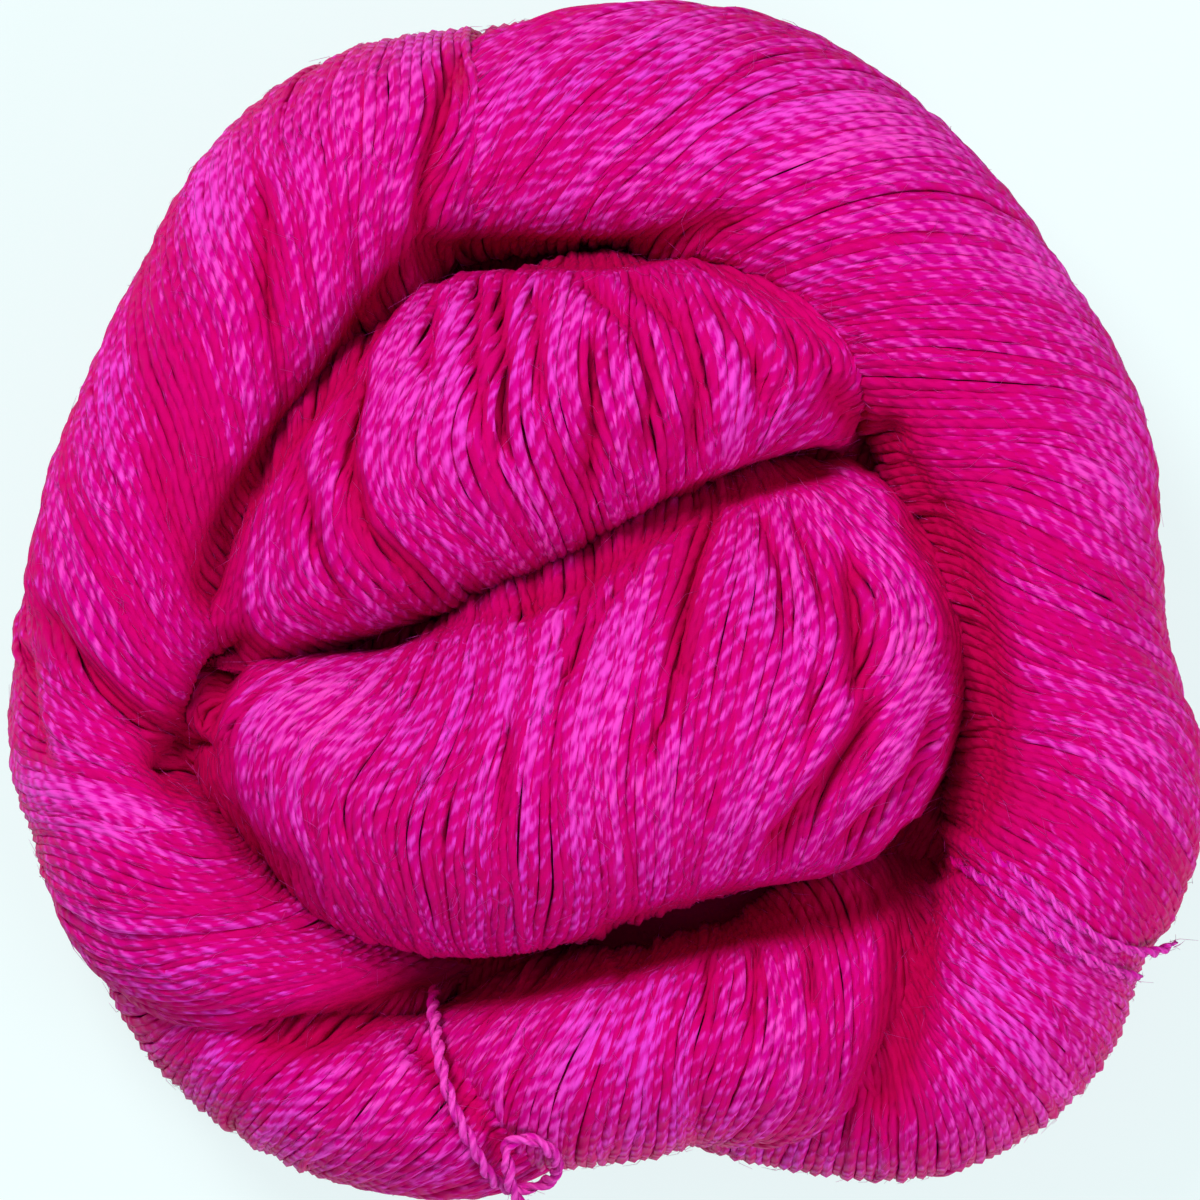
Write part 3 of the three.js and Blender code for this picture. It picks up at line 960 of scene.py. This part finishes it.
class SKEIN_OT_stage(bpy.types.Operator):
    """Adds the pale surface, the soft lights and the camera above the skein"""

    bl_idname = "skein.stage"
    bl_label = "Stage"

    def execute(self, context):
        settings = context.scene.skein
        bpy.ops.object.select_all(action="DESELECT")
        bpy.ops.mesh.primitive_plane_add(size=6.0, location=(0, 0, 0))
        paper = context.object
        paper.name = "paper"
        paper.data.materials.append(paper_material("paper", settings.paper_colour))
        context.scene.world = studio_world(settings.paper_colour)

        def lamp(name, place, size, power, colour):
            data = bpy.data.lights.new(name, "AREA")
            data.shape = "DISK"
            data.size = size
            data.energy = power
            data.color = colour
            lamp_object = bpy.data.objects.new(name, data)
            context.scene.collection.objects.link(lamp_object)
            lamp_object.location = place
            aim = Vector((0, 0, 0.02)) - Vector(place)
            lamp_object.rotation_euler = aim.to_track_quat("-Z", "Y").to_euler()

        lamp("key", (-0.28, 0.42, 0.62), 0.30, 4.4, (1.0, 0.98, 0.96))
        lamp("fill", (0.45, -0.35, 0.5), 0.4, 2.7, (0.95, 0.97, 1.0))

        camera_data = bpy.data.cameras.new("camera")
        camera = bpy.data.objects.new("camera", camera_data)
        context.scene.collection.objects.link(camera)
        widest = 20 * MM  # height at which the rosette's outline lies
        distance = 0.75
        frame_width = 120 * MM
        camera.location = (-OUTLINE_CENTRE[0] * MM, -OUTLINE_CENTRE[1] * MM, widest + distance)
        camera_data.lens = camera_data.sensor_width * distance / frame_width
        camera_data.clip_start = 0.01
        camera_data.clip_end = 10
        context.scene.camera = camera
        context.scene.view_settings.view_transform = "Standard"
        return {"FINISHED"}


PLY_SWELLING = 9 * MM, 2 * MM, 0.1  # the waves of a cord's plies, as a strand's

# The yarn's own ends start sunk, and come up between two distances along them.
ENDS_SUNK, ENDS_RISE = 2.6 * MM, (-2 * MM, 19 * MM)

# A cord gets painted shade at its start, as a strand that lies so much deeper, and painted light
# further on, as one that lies higher.
START_SHADED, SHADE_ENDS = 2.2 * MM, (1 * MM, 6 * MM)
RAISED = 0.3 * MM


def cord_line(route, step):
    """A cord's smooth line. The yarn's own ends start sunk between the strands."""
    fine = catmull_rom(route, steps=8)
    along = run_length(fine)
    length = along[-1]
    at = np.linspace(0, length, round(length / step) + 1)
    line = resampled(fine, along, at)
    if route is not TIE_ROUTE:
        line = sunk_into_grooves(line, np.tile((0.0, 0.0, 1.0), (len(line), 1)))
        line[:, 2] -= ENDS_SUNK * (1 - smooth_step(*ENDS_RISE, at))
        along = run_length(line)
        line = line[along > along[-1] - length]
        at = run_length(line)
    return line, at


def two_plies(line, at, ply_radius):
    """Two plies turned round each other along a line, thinner towards its ends."""
    tangent = unit(np.gradient(line, at, axis=0))
    up = unit(np.cross(tangent, np.cross((0.1, 0.2, 1.0), tangent)))
    side = np.cross(tangent, up)
    ends = smooth_step(0, 1.5 * MM, at) * smooth_step(0, 2.5 * MM, at[-1] - at)
    swell = waves(random_for("plies"), 1, *PLY_SWELLING)(at[None])[0]
    radius = ply_radius * (0.4 + 0.6 * ends) * (1 + swell)
    # Painted shade at the cord's start, painted light past it.
    shaded = START_SHADED * (1 - smooth_step(*SHADE_ENDS, at)) - RAISED
    tone, apart = 0.6, 0.86  # a ply's tone, and how many of its radii it lies off the line
    plies = []
    for start in (0, math.pi):
        turn = start + at * (2 * math.pi / CORD_PLY_TURN)
        out = up * np.cos(turn)[:, None] + side * np.sin(turn)[:, None]
        plies.append((line + out * (radius * apart)[:, None], out, radius, tone, shaded))
    return plies


class SKEIN_OT_cords(bpy.types.Operator):
    """Lays the tie and the yarn's two ends along their routes"""

    bl_idname = "skein.cords"
    bl_label = "Tie and loose ends"

    def execute(self, context):
        settings = context.scene.skein
        tie = settings.tie_colour
        # The yarn's two ends take the tie's brighter colours: painted highlight, as they stand
        # raised.
        usual = [(a + b) / 2 for a, b in zip(settings.yarn_colour, tie)]
        colours = settings.shade_colour, settings.yarn_colour, usual, tie
        tie_yarn, ends_yarn = (
            yarn_material(name, colours, settings.sheen_colour, settings.ply_turn)
            for name in ("tie_yarn", "ends_yarn")
        )
        thick, thin = 0.38 * MM, 0.31 * MM
        cords = (
            ("tie_cord", "tie", "tie_yarn", TIE_ROUTE, "knot", tie_yarn, thick),
            ("long_end_cord", "yarn_end_long", "yarn", LONG_END_ROUTE, "bare", ends_yarn, thin),
            ("short_end_cord", "yarn_end_short", "yarn", SHORT_END_ROUTE, "bare", ends_yarn, thin),
        )
        for name, node, slot, route, far_end, material, ply_radius in cords:
            line, at = cord_line(route, step=0.3 * MM)
            cord = strand_mesh(name, two_plies(line, at, ply_radius), CORD_SIDES, material)
            of_the_yarn(cord, node)
        return {"FINISHED"}


BODY_LIFT = -1.5 * MM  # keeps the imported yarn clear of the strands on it
BODY_VOXEL = 1.3 * MM


class SKEIN_OT_body(bpy.types.Operator):
    """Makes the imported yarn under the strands, as one body in the bundles' own form"""

    bl_idname = "skein.body"
    bl_label = "Packed yarn"

    def execute(self, context):
        settings = context.scene.skein
        # The packed yarn's darker colour is painted shade, for where it shows deep between the
        # bundles.
        packed = settings.packed_shade_colour
        material = yarn_material("packed_yarn", (packed,) * 4, settings.sheen_colour)
        bpy.ops.object.select_all(action="DESELECT")
        for name, rows in BUNDLES.items():
            shell = bundle_shell(Bundle(name, rows), BODY_LIFT, material)
            shell.select_set(True)
            context.view_layer.objects.active = shell
        bpy.ops.object.join()
        body = context.object
        body.name = body.data.name = "packed_yarn"
        body.data.remesh_voxel_size = BODY_VOXEL
        bpy.ops.object.voxel_remesh()
        bpy.ops.object.shade_smooth()
        of_the_yarn(body)
        return {"FINISHED"}


def bundle_shell(bundle, lift, material):
    """A closed surface round a bundle, lifted off it."""
    sides = 40
    column = np.arange(sides)
    s = np.arange(0, bundle.at[-1], 1.2 * MM)[:, None] + np.zeros(sides)
    angle = -column * (2 * math.pi / sides) + np.zeros_like(s)
    points, normals = bundle.surface(s, angle, lift)
    points = sunk_into_grooves(points, normals)
    points[..., 2] = np.maximum(points[..., 2], 0.15 * MM)
    faces = tube_faces(np.arange(len(s) - 1), sides)
    caps = np.stack([column[::-1], (len(s) - 1) * sides + column])
    mesh = mesh_of_faces(bundle.name, points.reshape(-1, 3), faces, caps)
    return new_object(bundle.name, mesh, material)


class SKEIN_OT_strands(bpy.types.Operator):
    """Winds the plied strands round each bundle, over a layer of deeper ones"""

    bl_idname = "skein.strands"
    bl_label = "Strands"

    def execute(self, context):
        settings = context.scene.skein
        tree = hank_surface()
        deep, shade = settings.crease_shade_colour, settings.shade_colour
        # The underside's strands use a copy of the yarn in its darker colours only: painted shade.
        material, painted_shade_material = (
            yarn_material(name, colours, settings.sheen_colour, settings.ply_turn)
            for name, colours in (
                ("yarn", (deep, shade, settings.yarn_colour, settings.painted_highlight_colour)),
                ("deep_yarn", (deep, deep, shade, shade)),
            )
        )
        lift, radius, spacing = (
            settings.strand_lift, settings.strand_radius, settings.strand_spacing
        )
        top = Lay(lift, radius, spacing, step=1.1 * MM)
        stray = Lay(lift + 0.28 * MM, radius * 0.8, 10 * MM, step=1.1 * MM, drift=2.6 * MM)
        # The deeper layer is painted darker for its depth: painted shade.
        low = Lay(
            lift - 0.32 * MM, radius * 1.2, spacing * 1.5, step=2.4 * MM, rough=0.6, depth=0.5 * MM
        )
        loose, buried = [], []
        for name, rows in BUNDLES.items():
            bundle = Bundle(name, rows)
            seen = seen_parts(bundle, tree)
            groups = groups_of(bundle, spacing)

            def laid(lay, prefix=""):
                return laid_strands(bundle, lay, groups, tree, seen, random_for(prefix + name))

            strands = laid(top)
            if name == "underside":
                of_the_yarn(strand_mesh(f"strands_{name}", strands, UNDERSIDE_SIDES, painted_shade_material))
                continue
            strands += laid(stray, "stray_")
            of_the_yarn(strand_mesh(f"strands_{name}", strands, STRAND_SIDES, material))
            loose += strands
            buried += laid(low, "deep_")
        of_the_yarn(strand_mesh("strands_deep", buried, DEEP_SIDES, material))
        add_fuzz(settings, loose)
        return {"FINISHED"}


FIBRE_RADIUS = 0.034 * MM
FIBRE_LENGTHS = 1.5 * MM, 4.5 * MM
CORD_FIBRES = 4  # for each millimetre of cord
CORD_FIBRE_SIZE = 0.6  # of the strands' own


def add_fuzz(settings, strands):
    """Adds loose fibres, each a thin tapered curl that leaves a strand and lies back over it."""
    random = random_for("fuzz")
    painted_highlight, tie = settings.painted_highlight_colour, settings.tie_colour
    # The loose fibres take the highlight colours: painted highlight, as of fibres catching the
    # light.
    colours = painted_highlight, painted_highlight, tie, tie
    material = yarn_material("loose_fibres", colours, settings.sheen_colour, settings.ply_turn)
    weights = np.array([len(strand[0]) for strand in strands], float)
    owners = random.choice(len(strands), settings.fuzz_fibres, p=weights / weights.sum())
    fibres = []
    for owner in owners:
        line, facing, radius = strands[owner][:3]
        i = random.integers(1, len(line) - 1)
        fibres.append(loose_fibre(line, i, facing[i], radius[i], random, 1.0))
    for route in (TIE_ROUTE, LONG_END_ROUTE, SHORT_END_ROUTE):
        line, _ = cord_line(route, step=1 * MM)
        for i in random.integers(1, len(line) - 1, CORD_FIBRES * len(line)):
            along = unit(line[i + 1] - line[i - 1])
            out = unit(np.cross(along, random.normal(size=3)))
            fibres.append(loose_fibre(line, i, out, 0.45 * MM, random, CORD_FIBRE_SIZE))
    half = len(fibres) // 2
    for name, part in (("fuzz_a", fibres[:half]), ("fuzz_b", fibres[half:])):
        of_the_yarn(strand_mesh(name, part, FIBRE_SIDES, material))


def loose_fibre(line, i, normal, radius, random, size):
    """A thin fibre from one point of a strand, with its taper."""
    tangent = unit(line[i + 1] - line[i - 1]) * random.choice((-1, 1))
    side = np.cross(tangent, normal)
    root = line[i] + normal * radius * 0.7 + side * random.uniform(-0.4, 0.4) * MM * size
    length = random.uniform(*FIBRE_LENGTHS) * size
    t = np.linspace(0, 1, 3)[:, None]
    rise = random.uniform(0.05, 0.25)
    curl = random.normal(0, 0.35)
    path = root + length * (
        tangent * (t - 0.15 * t**2) + normal * (rise * t - rise * t**2) + side * curl * t**2
    )
    path[:, 2] = np.maximum(path[:, 2], 0.1 * MM)
    radius = FIBRE_RADIUS * (1 - 0.6 * t[:, 0])
    return path, 0 * path + normal, radius, random.uniform(0.3, 1), 0 * radius


class SKEIN_PT_panel(bpy.types.Panel):
    """Lists the skein's pieces and settings"""

    bl_idname = "SKEIN_PT_panel"
    bl_label = "Skein of yarn"
    bl_space_type = "VIEW_3D"
    bl_region_type = "UI"
    bl_category = "Skein"

    def draw(self, context):
        for operator in OPERATORS:
            self.layout.operator(operator.bl_idname)
        for name in SkeinSettings.__annotations__:
            self.layout.prop(context.scene.skein, name)


OPERATORS = (SKEIN_OT_stage, SKEIN_OT_cords, SKEIN_OT_body, SKEIN_OT_strands)
CLASSES = (SkeinSettings, *OPERATORS, SKEIN_PT_panel)


def register():
    """Makes the settings, operators and panel known to Blender."""
    for each in CLASSES:
        bpy.utils.register_class(each)
    bpy.types.Scene.skein = PointerProperty(type=SkeinSettings)


def unregister():
    """Takes them away again."""
    del bpy.types.Scene.skein
    for each in reversed(CLASSES):
        bpy.utils.unregister_class(each)


def main():
    """Makes the whole skein."""
    register()
    bpy.ops.skein.stage()
    bpy.ops.skein.cords()
    bpy.ops.skein.body()
    bpy.ops.skein.strands()


if __name__ == "__main__":
    main()
